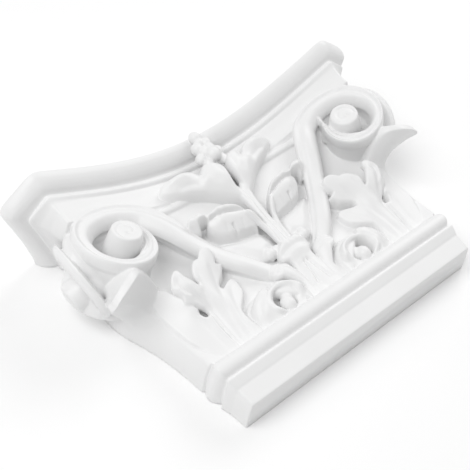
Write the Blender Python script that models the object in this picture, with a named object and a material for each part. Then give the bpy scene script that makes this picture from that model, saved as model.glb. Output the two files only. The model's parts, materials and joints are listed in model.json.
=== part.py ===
"""Pilaster capital, cast in one piece, lying on its flat back.

Frame: metres, X across the front, Y up the pilaster in use, Z out of the wall.
The back is flat at z = 0 and the base's underside is the face at the lowest Y.
All sizes below are millimetres; heights are counted from the base's underside.
The carving is written for the right half and repeated on the left.
"""
import math

import bmesh
import bpy
from mathutils import Matrix, Vector

# driving dimensions, millimetres
SHAFT_HALF = 100.0       # half the width of the base's lowest edge
HEIGHT = 186.0           # base underside to abacus top
BASE_DEPTH = 22.6        # depth of the base's lowest edge
FASCIA_TOP = 13.0        # top of the plain lower band of the base
FILLET_TOP = 19.3        # top of the slanted second band
GROOVE_TOP = 21.6        # top of the sunk line under the torus
TORUS_TOP = 34.4         # top of the half-round moulding
LIP_Y = 145.0            # height of the thin lip round the top of the bell
ABACUS_Y = 150.5         # underside of the abacus
OVOLO_Y = 173.5          # underside of the abacus's upper moulding
HORN_FRONT = (126.5, 79.5)   # abacus top: corner of the front edge and the chamfer (x, z)
HORN_SIDE = (152.0, 62.0)    # abacus top: corner of the chamfer and the side (x, z)
ABACUS_MID_Z = 45.5      # abacus top edge on the centre line
ABACUS_WALL_X = 135.5    # abacus top edge at the wall
VOLUTE = Vector((98.5, 127.0, 54.0))     # centre of the front volute's face
VOLUTE_LEAN = 0.31       # how much the volute's face comes forward per unit of width
SIDE_VOLUTE = Vector((134.5, 127.0, 26.0))   # centre of the side volute's face
MM = 0.001

SIDE_STEPS = 4
FRONT_STEPS = 12
PLASTER = (0.90, 0.90, 0.89, 1.0)


def mix(a, b, t):
    """Value a share t of the way from a to b."""
    return a + (b - a) * t


def through(stops, t):
    """Smooth value at t (0 to 1) of a short list of evenly spaced numbers or vectors."""
    last = len(stops) - 1
    place = min(max(t, 0.0), 1.0) * last
    i = min(int(place), last - 1)
    f = place - i
    p0 = stops[max(i - 1, 0)]
    p1 = stops[i]
    p2 = stops[i + 1]
    p3 = stops[min(i + 2, last)]
    slope1 = (p2 - p0) * 0.5
    slope2 = (p3 - p1) * 0.5
    f2 = f * f
    f3 = f2 * f
    return (p1 * (2 * f3 - 3 * f2 + 1) + slope1 * (f3 - 2 * f2 + f)
            + p2 * (3 * f2 - 2 * f3) + slope2 * (f3 - f2))


def ease(a, b, y):
    """0 below a, 1 above b, smooth between."""
    t = min(max((y - a) / (b - a), 0.0), 1.0)
    return t * t * (3 - 2 * t)


# ---------------------------------------------------------------- the plain body

def bell_depth(x, y):
    """Depth of the bell's front face at x across and y up."""
    flare = max(y - TORUS_TOP, 0.0) / (ABACUS_Y - TORUS_TOP)
    middle = 18.0 + 14.5 * flare ** 2.0
    corner = 25.0 + 32.0 * flare ** 2.6
    reach = 103.0 + 18.0 * flare ** 1.6
    return mix(middle, corner, min(abs(x) / reach, 1.15) ** 2.5)


def outline(wall_x, side, front, mid_z):
    """Half outline in (x, z), from the wall round the corner to the centre line."""
    points = []
    for i in range(SIDE_STEPS):
        t = i / SIDE_STEPS
        points.append((mix(wall_x, side[0], t * t), side[1] * t))
    points.append(side)
    for i in range(FRONT_STEPS + 1):
        t = 1.0 - i / FRONT_STEPS
        points.append((front[0] * t, mix(mid_z, front[1], t * t)))
    return points


def base_level(y, out):
    """Outline of the base moulding at y, standing out by out from its lowest edge."""
    x = SHAFT_HALF + 0.6 * out
    z = BASE_DEPTH + out
    return y, outline(x + 2.9, (x + 0.1, z - 0.6), (x - 0.6, z), z)


def bell_level(y):
    """Outline of the bell at y."""
    flare = (y - TORUS_TOP) / (ABACUS_Y - TORUS_TOP)
    reach = 103.0 + 18.0 * flare ** 1.6
    wall = 107.5 + 17.0 * flare ** 1.5
    corner = bell_depth(reach, y)
    return y, outline(wall, (reach + 2.0, corner - 4.0), (reach - 3.0, corner - 1.0), bell_depth(0.0, y))


def abacus_level(y, inset):
    """Outline of the abacus at y, set in by inset from its top edge."""
    front = (HORN_FRONT[0] - 0.16 * inset, HORN_FRONT[1] - 1.0 * inset)
    side = (HORN_SIDE[0] - 1.1 * inset, HORN_SIDE[1] - 0.55 * inset)
    return y, outline(ABACUS_WALL_X - inset, side, front, ABACUS_MID_Z - inset)


def body_levels():
    """The outlines of base, bell and abacus, from the underside up."""
    levels = [base_level(0.0, 0.0), base_level(FASCIA_TOP - 0.6, 2.2),
              base_level(FASCIA_TOP + 0.4, 2.4), base_level(FILLET_TOP, 5.6),
              base_level(FILLET_TOP + 0.6, 3.0), base_level(GROOVE_TOP, 3.0)]
    radius = (TORUS_TOP - GROOVE_TOP) / 2
    for i in range(1, 6):
        a = math.pi * (i / 6) - math.pi / 2
        levels.append(base_level(GROOVE_TOP + radius + radius * math.sin(a), 1.6 + radius * math.cos(a)))
    for y in (TORUS_TOP, 50.0, 68.0, 86.0, 104.0, 120.0, 134.0, LIP_Y - 2.2):
        levels.append(bell_level(y))
    lip_out = bell_level(LIP_Y)[1]
    levels.append((LIP_Y, [(x + 1.6, z + 2.2) if z > 0 else (x + 1.6, z) for x, z in lip_out[:-1]]
                   + [(0.0, lip_out[-1][1] + 2.2)]))
    levels.append(bell_level(LIP_Y + 2.4))
    for i in range(4):
        t = i / 3
        levels.append(abacus_level(mix(ABACUS_Y, OVOLO_Y - 3.5, t), 16.0 - 4.5 * t ** 2))
    levels += [abacus_level(OVOLO_Y - 3.0, 10.2), abacus_level(OVOLO_Y, 9.8)]
    for i in range(4):
        a = math.pi / 2 * i / 3
        levels.append(abacus_level(OVOLO_Y + 0.3 + 10.0 * math.sin(a), 8.6 * math.cos(a) + 0.4))
    levels.append(abacus_level(HEIGHT, 0.4))
    return levels


def body():
    """Base, bell and abacus as one closed loft, flat at the wall."""
    mesh = bmesh.new()
    rings = []
    for y, half in body_levels():
        loop = half + [(-x, z) for x, z in reversed(half[:-1])]
        rings.append([mesh.verts.new((x, y, z)) for x, z in loop])
    for low, high in zip(rings, rings[1:]):
        count = len(low)
        for i in range(count):
            j = (i + 1) % count
            mesh.faces.new((low[i], low[j], high[j], high[i]))
    mesh.faces.new(rings[0])
    mesh.faces.new(rings[-1])
    return mesh


# ---------------------------------------------------------------- carved pieces

def blade(points, widths, thick, steps=8, sides=8, facing=(0.0, 0.0, 1.0), ends=(0.0, 0.0)):
    """A closed rounded strip along points: half widths and half thickness follow it.

    ends are the shares of the full section kept at the first and last ring.
    """
    mesh = bmesh.new()
    points = [Vector(p) for p in points]
    face = Vector(facing).normalized()
    rings = []
    for i in range(steps + 1):
        t = i / steps
        here = through(points, t)
        ahead = (through(points, min(t + 0.01, 1.0)) - through(points, max(t - 0.01, 0.0))).normalized()
        side = ahead.cross(face).normalized()
        out = side.cross(ahead).normalized()
        cap = min(1.0, math.sqrt(max(1.0 - (1.0 - t * 4) ** 2, 0.0)) if t < 0.25 else 1.0)
        end = min(1.0, math.sqrt(max(1.0 - (t * 4 - 3.0) ** 2, 0.0)) if t > 0.75 else 1.0)
        size = max(cap, ends[0]) * max(end, ends[1])
        if size < 1e-6:
            rings.append([mesh.verts.new(here)])
            continue
        half = through(widths, t) * size
        deep = through(thick, t) * size
        ring = []
        for k in range(sides):
            a = 2 * math.pi * k / sides
            ring.append(mesh.verts.new(here + side * half * math.cos(a) + out * deep * math.sin(a)))
        rings.append(ring)
    close_rings(mesh, rings)
    return mesh


def close_rings(mesh, rings):
    """Skin a row of rings; a ring of one vertex is a pointed end."""
    for low, high in zip(rings, rings[1:]):
        count = max(len(low), len(high))
        for k in range(count):
            n = (k + 1) % count
            corners = [low[k % len(low)], low[n % len(low)], high[n % len(high)], high[k % len(high)]]
            unique = [v for i, v in enumerate(corners) if v not in corners[:i]]
            mesh.faces.new(unique)
    for ring in (rings[0], rings[-1]):
        if len(ring) > 2:
            mesh.faces.new(ring)


def turned(profile, centre, axis, sides=16):
    """A solid turned round axis from (radius, height) points, starting and ending solid."""
    mesh = bmesh.new()
    turn = Vector((0, 0, 1)).rotation_difference(Vector(axis).normalized()).to_matrix()
    rings = []
    for radius, height in profile:
        ring = []
        for k in range(sides):
            a = 2 * math.pi * k / sides
            ring.append(mesh.verts.new(Vector(centre) + turn @ Vector((radius * math.cos(a),
                                                                       radius * math.sin(a), height))))
        rings.append(ring)
    close_rings(mesh, rings)
    return mesh


def cut_at_wall(mesh):
    """Cut a piece off flat at the wall."""
    parts = mesh.verts[:] + mesh.edges[:] + mesh.faces[:]
    cut = bmesh.ops.bisect_plane(mesh, geom=parts, dist=0.0001, plane_co=(0, 0, 0), plane_no=(0, 0, 1),
                                 clear_inner=True)
    rim = [piece for piece in cut["geom_cut"] if isinstance(piece, bmesh.types.BMEdge)]
    if rim:
        bmesh.ops.contextual_create(mesh, geom=rim)
    return mesh


def ball(centre, radii, around=10, rows=6):
    """An ellipsoid with radii along X, Y and Z."""
    mesh = bmesh.new()
    bmesh.ops.create_uvsphere(mesh, u_segments=around, v_segments=rows, radius=1.0)
    shape = Matrix.Translation(Vector(centre)) @ Matrix.Diagonal((*radii, 1.0))
    bmesh.ops.transform(mesh, matrix=shape, verts=mesh.verts)
    return mesh


def face_depth(x):
    """Depth of the front volute's leaning face at x."""
    return VOLUTE.z + VOLUTE_LEAN * (x - VOLUTE.x)


def volute_stalk():
    """The long stalk: an S-curve up from the centre that rolls into the spiral."""
    path = [Vector((10.0, 60.0, 18.0)), Vector((25.0, 72.0, 23.0)), Vector((40.0, 91.0, 25.5)),
            Vector((52.5, 110.0, 31.5)), Vector((63.5, 128.0, 39.0)), Vector((76.0, 143.5, 44.0))]
    half = [5.5, 7.0, 7.6, 8.0, 8.8, 8.4]
    turns = 15
    for i in range(1, turns):
        a = math.radians(118.0 - 27.0 * i)
        r = 25.5 * (1.0 - 0.055 * max(i - 5, 0)) if i > 1 else 26.0
        x = VOLUTE.x + r * math.cos(a)
        path.append(Vector((x, VOLUTE.y + r * math.sin(a), face_depth(x) - 6.0)))
        half.append(8.0 - 0.3 * i)
    return blade(path, half, [5.0, 5.5, 6.0, 6.5, 6.5, 6.5, 6.5], steps=48, sides=8,
                 facing=(-VOLUTE_LEAN, 0.0, 1.0))


def front_volute():
    """The drum behind the spiral and the raised eye in its middle."""
    axis = (-VOLUTE_LEAN, 0.0, 1.0)
    drum = turned(((17.0, -34.0), (20.0, -20.0), (28.0, -12.0), (29.0, -8.0), (26.0, -4.5)), VOLUTE, axis, 20)
    eye = turned(((12.5, -6.0), (11.5, 2.0), (9.2, 7.6), (7.6, 8.6)), VOLUTE, axis, 14)
    return [drum, eye]


def side_volute():
    """The flat roll and round button on the side face, cut off by the wall."""
    axis = (1.0, 0.0, -VOLUTE_LEAN)
    roll = turned(((20.0, -26.0), (27.0, -12.0), (30.0, -9.0), (30.5, -3.0), (28.5, 0.0), (18.0, -0.6),
                   (15.0, -3.5)), SIDE_VOLUTE, axis, 24)
    button = turned(((11.5, -5.0), (10.5, 3.0), (8.6, 6.6), (6.6, 7.4)), SIDE_VOLUTE, axis, 14)
    return [cut_at_wall(roll), button]


def corner_leaf():
    """The pointed leaf that carries the corner, curling out to a beak."""
    points = ((92.0, 62.0, 20.0), (100.0, 76.0, 26.0), (113.0, 88.0, 37.0), (126.0, 92.5, 45.0), (136.5, 89.0, 50.0))
    return blade(points, [12.0, 14.5, 13.0, 9.0, 4.0], [5.0, 6.5, 6.5, 5.0, 2.5], steps=9, sides=10,
                 facing=(0.35, -0.75, 0.8), ends=(0.3, 0.0))


def tall_leaf():
    """The acanthus leaf beside the centre: a broad blade with rounded lobes."""
    def over(x, y, stand):
        return (x, y, bell_depth(x, y) + stand)

    return [
        blade((over(74, 32, 1), over(72, 58, 4), over(66, 84, 8), over(59.5, 103, 11)),
              [12.5, 13.5, 13.0, 8.5], [4.5, 5.5, 5.5, 3.6], steps=8, sides=10, ends=(0.8, 0.0)),
        blade((over(80, 34, 0), over(83, 62, 4), over(85, 80, 9), over(84.5, 95, 12)),
              [6.0, 5.5, 8.0, 5.5], [4.0, 4.5, 5.0, 3.2], steps=7, sides=8, ends=(0.8, 0.0)),
        blade((over(70, 50, 2), over(62, 72, 6), over(55, 84, 7), over(50.5, 91, 7)),
              [6.0, 7.0, 6.0, 3.5], [4.0, 4.5, 4.2, 3.0], steps=5, sides=8),
        blade((over(70, 36, 1), over(62, 56, 5), over(55, 68, 6), over(50.5, 75, 5)),
              [5.0, 6.5, 6.0, 3.5], [4.0, 4.5, 4.2, 3.0], steps=5, sides=8),
        blade((over(78, 46, 1), over(86, 60, 4), over(91, 70, 7), over(93, 77, 7)),
              [4.0, 5.0, 4.5, 3.0], [3.5, 4.2, 4.0, 3.0], steps=5, sides=8),
    ]


def low_curl():
    """The small leaf curl against the torus, rolled round a sunk eye."""
    centre = Vector((36.0, 46.0, 20.5))
    path = []
    for i in range(11):
        a = math.radians(200.0 - 42.0 * i)
        r = 13.0 - 0.85 * i
        path.append(centre + Vector((r * math.cos(a) * 1.1, r * math.sin(a), 0.25 * i)))
    return blade(path, [4.0, 5.6, 5.4, 4.6, 3.4], [4.5, 5.2, 5.2, 4.6, 4.0], steps=18, sides=7)


def middle():
    """The low middle leaf with its bract, and the berries over the abacus."""
    made = [blade(((0.0, 30.0, 18.5), (0.0, 46.0, 19.5), (0.0, 62.0, 20.5), (0.0, 72.0, 21.0)),
                  [9.5, 8.0, 9.0, 8.0], [3.6, 3.4, 4.5, 4.5], steps=6, sides=10, ends=(0.8, 0.0))]
    made.append(ball((0.0, 75.0, 23.5), (11.0, 5.5, 6.0), 10, 6))
    berries = ((0.3, 159.0, 42.0, 6.2), (5.5, 168.0, 40.5, 4.4), (-5.2, 167.6, 40.5, 4.4),
               (0.2, 172.5, 43.5, 4.8), (0.0, 181.0, 45.5, 4.6))
    for x, y, z, radius in berries:
        made.append(ball((x, y, z), (radius, radius, radius), 8, 6))
    return made


def side_leaves():
    """The bract's side lobe and the small leaf beside the middle leaf."""
    return [ball((15.0, 74.0, 22.5), (8.5, 5.0, 4.8), 8, 6),
            blade(((8.0, 44.0, 18.5), (16.0, 54.0, 21.5), (25.0, 62.0, 24.0), (33.0, 63.0, 24.5)),
                  [4.0, 6.0, 6.0, 4.0], [3.5, 3.8, 3.8, 3.0], steps=6, sides=8)]


def leaf_cup():
    """The half-open leaves between the middle stem and the stalk."""
    made = [blade(((6.0, 78.0, 21.0), (13.0, 94.0, 24.0), (22.0, 107.0, 29.0), (33.0, 109.0, 30.0)),
                  [5.0, 10.0, 11.0, 6.0], [3.5, 4.5, 5.0, 3.5], steps=7, sides=10)]
    made.append(blade(((8.0, 92.0, 22.0), (18.0, 112.0, 29.0), (31.0, 123.0, 36.0), (44.0, 117.0, 35.0)),
                      [4.0, 7.0, 7.5, 4.0], [3.5, 4.2, 4.5, 3.5], steps=7, sides=8))
    return made


def fleuron():
    """Half of the middle stem and of the spread leaf at its head."""
    made = [blade(((0.5, 74.0, 25.0), (1.5, 96.0, 28.0), (3.5, 120.0, 31.0), (8.0, 136.0, 35.0)),
                  [3.4, 4.0, 4.6, 5.5], [3.6, 4.0, 4.4, 4.4], steps=6, sides=8)]
    made.append(blade(((4.0, 124.0, 32.0), (16.0, 138.0, 37.0), (32.0, 149.0, 42.0), (50.0, 151.0, 38.5)),
                      [4.5, 10.0, 10.5, 5.0], [4.0, 4.5, 4.5, 3.2], steps=8, sides=9))
    made.append(blade(((3.0, 128.0, 33.0), (7.0, 142.0, 39.0), (11.0, 154.0, 42.0), (13.0, 160.0, 42.5)),
                      [4.0, 7.0, 6.5, 4.0], [4.0, 4.5, 4.2, 3.5], steps=6, sides=8))
    return made


# ---------------------------------------------------------------- assembly

def solid(name, mesh):
    """An object in metres, heights counted from the middle of the capital."""
    bmesh.ops.recalc_face_normals(mesh, faces=mesh.faces)
    bmesh.ops.translate(mesh, vec=(0.0, -HEIGHT / 2, 0.0), verts=mesh.verts)
    bmesh.ops.scale(mesh, vec=(MM, MM, MM), verts=mesh.verts)
    data = bpy.data.meshes.new(name)
    mesh.to_mesh(data)
    mesh.free()
    made = bpy.data.objects.new(name, data)
    bpy.context.scene.collection.objects.link(made)
    return made


def left_copy(mesh):
    """The same piece on the left half."""
    copy = mesh.copy()
    bmesh.ops.scale(copy, vec=(-1.0, 1.0, 1.0), verts=copy.verts)
    return copy


def join(capital, mesh, name):
    """Unite a piece with the capital."""
    tool = solid(name, mesh)
    tool.hide_render = True
    tool.display_type = "WIRE"
    union = capital.modifiers.new(name, "BOOLEAN")
    union.operation = "UNION"
    union.solver = "EXACT"
    union.object = tool


def plaster():
    """Smooth white moulded finish."""
    material = bpy.data.materials.new("white_moulding")
    material.use_nodes = True
    shader = material.node_tree.nodes["Principled BSDF"]
    shader.inputs["Base Color"].default_value = PLASTER
    shader.inputs["Roughness"].default_value = 0.45
    shader.inputs["Metallic"].default_value = 0.0
    return material


def main():
    for old in list(bpy.data.objects):
        bpy.data.objects.remove(old, do_unlink=True)
    capital = solid("pilaster_capital", body())
    capital.data.materials.append(plaster())
    paired = [volute_stalk(), *front_volute(), *side_volute(), corner_leaf(), *tall_leaf(), low_curl(),
              *leaf_cup(), *side_leaves(), *fleuron()]
    for number, mesh in enumerate(paired):
        join(capital, left_copy(mesh), f"left_{number:02d}")
        join(capital, mesh, f"right_{number:02d}")
    for number, mesh in enumerate(middle()):
        join(capital, mesh, f"middle_{number:02d}")


main()
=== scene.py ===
"""Pilaster capital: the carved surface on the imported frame, its plaster finish and a plain stage.

Lengths in the shape functions are millimetres: x across the front, y up the pilaster from the
base's underside, z out of the wall. `settle` turns them into the frame's metres at the end. The
carving is written for the right half and repeated on the left.

A carved leaf has up to three tables: the points (x, y) of its outline; the pegs (x, y, z) that its
face passes through; and its lines, each with its points, its depth (negative for a ridge), its
half width and the share of its length over which it fades at both ends.
"""
import json
import math

import bmesh
import bpy
import numpy as np
from mathutils import Matrix, Vector

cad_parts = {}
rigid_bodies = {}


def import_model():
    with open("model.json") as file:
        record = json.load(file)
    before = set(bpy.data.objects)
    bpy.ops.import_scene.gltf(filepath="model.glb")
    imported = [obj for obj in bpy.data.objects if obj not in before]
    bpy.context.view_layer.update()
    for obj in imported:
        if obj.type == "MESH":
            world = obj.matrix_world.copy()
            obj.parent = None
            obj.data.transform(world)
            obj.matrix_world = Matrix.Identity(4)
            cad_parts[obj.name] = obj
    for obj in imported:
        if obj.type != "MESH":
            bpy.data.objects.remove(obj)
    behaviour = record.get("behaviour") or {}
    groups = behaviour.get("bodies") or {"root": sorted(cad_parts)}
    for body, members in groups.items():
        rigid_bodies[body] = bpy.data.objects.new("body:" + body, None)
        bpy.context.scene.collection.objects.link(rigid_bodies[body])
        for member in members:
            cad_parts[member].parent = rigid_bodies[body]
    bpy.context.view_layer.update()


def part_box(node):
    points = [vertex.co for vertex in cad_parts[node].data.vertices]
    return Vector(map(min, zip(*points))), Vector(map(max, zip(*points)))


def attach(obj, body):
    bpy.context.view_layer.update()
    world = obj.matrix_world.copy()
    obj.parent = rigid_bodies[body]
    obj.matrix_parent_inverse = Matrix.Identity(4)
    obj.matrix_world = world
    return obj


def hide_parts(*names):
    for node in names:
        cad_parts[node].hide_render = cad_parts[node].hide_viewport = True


bl_info = {
    "name": "Pilaster capital",
    "version": (1, 0, 0),
    "blender": (4, 5, 0),
    "location": "3D View > Sidebar > Capital",
    "description": "Moulded pilaster capital with volutes and leaves, lying on a plain stage",
    "category": "Object",
}

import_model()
NODE = "pilaster_capital"
PART_TAG = "casting_part"
LOW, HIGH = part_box(NODE)
M = 1000.0                      # millimetres in a metre
TALL = (HIGH.y - LOW.y) * M     # base underside to abacus top
WIDE = (HIGH.x - LOW.x) * M     # tip to tip of the abacus
DEEP = (HIGH.z - LOW.z) * M     # wall to the front of the abacus's corners
WALL = -3.0                     # the rough casting runs this far behind the wall, then is cut
LEAF_STEP = 0.55                # spacing of the grids that leaves are worked out on
TRIANGLE_LIMIT = 200000         # a finished piece stays under this


# ---- curves and distances

def along(stops, t):
    """Smooth row at t: stops are evenly spaced from t = 0 to 1, joined by cubic arcs with the slope
    of their neighbours."""
    stops = np.asarray(stops, float)
    if stops.ndim == 1:
        return along(stops[:, None], t)[..., 0]
    last = len(stops) - 1
    place = np.clip(np.asarray(t, float), 0.0, 1.0) * last
    i = np.minimum(place.astype(int), last - 1)
    f = (place - i)[..., None]
    before, here = stops[np.maximum(i - 1, 0)], stops[i]
    after, beyond = stops[i + 1], stops[np.minimum(i + 2, last)]
    slope_a, slope_b = (after - before) / 2, (beyond - here) / 2
    return (here * (2 * f**3 - 3 * f**2 + 1) + slope_a * (f**3 - 2 * f**2 + f)
            + after * (3 * f**2 - 2 * f**3) + slope_b * (f**3 - f**2))


def loop_through(stops, count):
    """Closed smooth outline of count points through the stops, evenly spaced by length."""
    stops = np.asarray(stops, float)
    pad = np.vstack([stops[-2:], stops, stops[:3]])
    share = (2 + np.linspace(0, len(stops), 12 * len(stops) + 1)) / (len(pad) - 1)
    fine = along(pad, share)
    run = np.r_[0, np.cumsum(np.linalg.norm(np.diff(fine, axis=0), axis=1))]
    at = np.linspace(0, run[-1], count, endpoint=False)
    return np.stack([np.interp(at, run, fine[:, k]) for k in range(fine.shape[1])], -1)


def rise(a, b, v):
    """0 below a, 1 above b, 3t² - 2t³ between."""
    t = np.clip((np.asarray(v, float) - a) / (b - a), 0.0, 1.0)
    return t * t * (3 - 2 * t)


def to_line(x, y, line):
    """Distance of each (x, y) to an open line, and the share of the line's length at its nearest
    point."""
    line = np.asarray(line, float)
    a, d = line[:-1], np.diff(line, axis=0)
    length = np.maximum(np.linalg.norm(d, axis=1), 1e-9)
    px, py = x[..., None] - a[:, 0], y[..., None] - a[:, 1]
    t = np.clip((px * d[:, 0] + py * d[:, 1]) / length**2, 0, 1)
    far = np.hypot(px - t * d[:, 0], py - t * d[:, 1])
    k = far.argmin(-1)
    run = np.r_[0, np.cumsum(length)]
    pick = np.take_along_axis(t, k[..., None], -1)[..., 0]
    return np.take_along_axis(far, k[..., None], -1)[..., 0], (run[k] + pick * length[k]) / run[-1]


def inside(x, y, loop):
    """Signed distance to a closed outline, positive inside, with the nearest point of the
    outline."""
    a, b = loop, np.roll(loop, -1, 0)
    d = b - a
    px, py = x[..., None] - a[:, 0], y[..., None] - a[:, 1]
    t = np.clip((px * d[:, 0] + py * d[:, 1]) / np.maximum((d**2).sum(1), 1e-12), 0, 1)
    qx, qy = a[:, 0] + t * d[:, 0], a[:, 1] + t * d[:, 1]
    far = np.hypot(x[..., None] - qx, y[..., None] - qy)
    k = far.argmin(-1)[..., None]
    far, qx, qy = (np.take_along_axis(v, k, -1)[..., 0] for v in (far, qx, qy))
    above = (a[:, 1] > y[..., None]) != (b[:, 1] > y[..., None])
    level = np.where(np.abs(d[:, 1]) < 1e-12, 1e-12, d[:, 1])
    crossing = a[:, 0] + (y[..., None] - a[:, 1]) / level * d[:, 0] > x[..., None]
    within = (above & crossing).sum(-1) % 2 == 1
    return np.where(within, far, -far), qx, qy


def crease(x, y, line, deep, wide, ends=0.15):
    """A soft groove along a line: -deep·exp(-(distance/wide)²), fading towards both ends; deep < 0
    makes a ridge."""
    far, at = to_line(x, y, along(line, np.linspace(0, 1, 24)))
    fade = rise(0.0, ends, at) * rise(0.0, ends, 1 - at) if ends > 0 else 1.0
    return -deep * np.exp(-(far / wide) ** 2) * fade


def pegged(pegs):
    """A height that passes through every peg (x, y, z): a plane plus a spring ½r²·log r² at each
    peg, solved at once."""
    pegs = np.asarray(pegs, float)
    spot, count = pegs[:, :2], len(pegs)

    def spring(r2):
        return 0.5 * r2 * np.log(r2 + 1e-9)
    flat = np.hstack([np.ones((count, 1)), spot])
    springs = spring(((spot[:, None] - spot[None]) ** 2).sum(-1))
    system = np.block([[springs, flat], [flat.T, np.zeros((3, 3))]])
    weight = np.linalg.solve(system, np.r_[pegs[:, 2], np.zeros(3)])

    def height(x, y):
        r2 = (x[..., None] - spot[:, 0]) ** 2 + (y[..., None] - spot[:, 1]) ** 2
        return spring(r2) @ weight[:count] + weight[-3] + weight[-2] * x + weight[-1] * y
    return height


def ease(rings, rounds, amount):
    """Closed rings softened along themselves: each round moves every point by amount (one value per
    ring) of the way to the (1, 2, 1)/4 average of itself and its neighbours."""
    for _ in range(rounds):
        mean = (np.roll(rings, 1, 1) + 2 * rings + np.roll(rings, -1, 1)) / 4
        rings = rings + (mean - rings) * amount[:, None, None]
    return rings


# ---- closed shapes: (points, quads, triangles)

def outward(shape):
    """The shape with its faces turned out: its volume, the sum of a·(b×c)/6 over its triangles, is
    made positive."""
    points, quads, tris = shape
    all_tris = np.vstack([quads[:, [0, 1, 2]], quads[:, [0, 2, 3]], tris])
    a, b, c = points[all_tris[:, 0]], points[all_tris[:, 1]], points[all_tris[:, 2]]
    if (a * np.cross(b, c)).sum() < 0:
        return points, quads[:, ::-1], tris[:, ::-1]
    return shape


def skin(rings):
    """Closed skin over a row of closed rings: quads between neighbours, a fan to the mean point at
    both ends."""
    n, m, _ = rings.shape
    k = np.arange(n * m).reshape(n, m)
    a, b = k[:-1], k[1:]
    quads = np.stack([a, np.roll(a, -1, 1), np.roll(b, -1, 1), b], -1).reshape(-1, 4)
    points = np.vstack([rings.reshape(-1, 3), rings[:1].mean(1), rings[-1:].mean(1)])
    low = np.stack([np.roll(k[0], -1), k[0], np.full(m, n * m)], -1)
    high = np.stack([k[-1], np.roll(k[-1], -1), np.full(m, n * m + 1)], -1)
    return outward((points, quads, np.vstack([low, high])))


def block(front):
    """Closed block from a grid of levels × stations: the grid, its shadow on z = WALL, and caps on
    the first and last level."""
    n, m, _ = front.shape
    back = front.copy()
    back[..., 2] = WALL
    k = np.arange(n * m).reshape(n, m)
    j = k + n * m
    face = np.stack([k[:-1, :-1], k[:-1, 1:], k[1:, 1:], k[1:, :-1]], -1).reshape(-1, 4)
    rear = np.stack([j[:-1, :-1], j[1:, :-1], j[1:, 1:], j[:-1, 1:]], -1).reshape(-1, 4)
    under = np.stack([k[0, :-1], j[0, :-1], j[0, 1:], k[0, 1:]], -1)
    over = np.stack([k[-1, :-1], k[-1, 1:], j[-1, 1:], j[-1, :-1]], -1)
    points = np.vstack([front.reshape(-1, 3), back.reshape(-1, 3)])
    return outward((points, np.vstack([face, rear, under, over]), np.zeros((0, 3), int)))


def sweep(path, facing, across, out):
    """A section carried along a path: point = path + side·across + up·out, where side = tangent ×
    facing and up = side × tangent; across and out are stations × section points."""
    tangent = np.gradient(path, axis=0)
    tangent /= np.linalg.norm(tangent, axis=1, keepdims=True)
    side = np.cross(tangent, facing)
    side /= np.linalg.norm(side, axis=1, keepdims=True)
    up = np.cross(side, tangent)
    return skin(path[:, None] + side[:, None] * across[..., None] + up[:, None] * out[..., None])


def oval(half, thick):
    """A rounded section of 24 points: half·cos a and thick·sin a, cosine and sine being raised to
    the power 0.8 with their signs kept."""
    a = np.linspace(0, 2 * np.pi, 24, endpoint=False)
    c, s = (np.sign(v) * np.abs(v) ** 0.8 for v in (np.cos(a), np.sin(a)))
    return half[:, None] * c, thick[:, None] * s


def tendril(stops, half, thick, facing=(0, 0, 1), steps=40):
    """A rounded strip along smooth stops. Half width and half thickness follow it; both are rounded
    off by sqrt(1 - (1 - t/0.15)²) at either end, t being the share of its length from there."""
    t = np.linspace(0, 1, steps + 1)
    path = along(stops, t)
    near, far = np.minimum(t / 0.15, 1.0), np.minimum((1 - t) / 0.15, 1.0)
    size = np.sqrt(np.clip(1 - (1 - near) ** 2, 0, 1)) * np.sqrt(np.clip(1 - (1 - far) ** 2, 0, 1))
    size = np.maximum(size, 0.02)
    across, out = oval(along(half, t) * size, along(thick, t) * size)
    return sweep(path, np.broadcast_to(np.asarray(facing, float), path.shape), across, out)


def turned(profile, centre, axis, sides=64, relief=None):
    """A solid turned round an axis from (radius, height) stops; relief(radius, angle) is added to
    the height."""
    axis = np.asarray(axis, float) / np.linalg.norm(axis)
    u = np.cross((0.0, 1.0, 0.0), axis)
    u /= np.linalg.norm(u)
    v = np.cross(axis, u)
    profile = np.asarray(profile, float)
    angle = np.linspace(0, 2 * np.pi, sides, endpoint=False)
    radius = np.broadcast_to(profile[:, :1], (len(profile), sides))
    height = np.broadcast_to(profile[:, 1:], radius.shape)
    if relief is not None:
        height = height + relief(radius, angle[None])
    rings = (np.asarray(centre, float) + radius[..., None] * (np.cos(angle)[None, :, None] * u
             + np.sin(angle)[None, :, None] * v) + height[..., None] * axis)
    return skin(rings)


def globe(centre, radii):
    """An ellipsoid: centre + radii × (cos b cos a, cos b sin a, sin b)."""
    b = np.linspace(-np.pi / 2, np.pi / 2, 18)[1:-1, None]
    a = np.linspace(0, 2 * np.pi, 28, endpoint=False)
    ball = np.stack([np.cos(b) * np.cos(a), np.cos(b) * np.sin(a), np.sin(b) + 0 * a], -1)
    return skin(ball * radii + centre)


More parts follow.
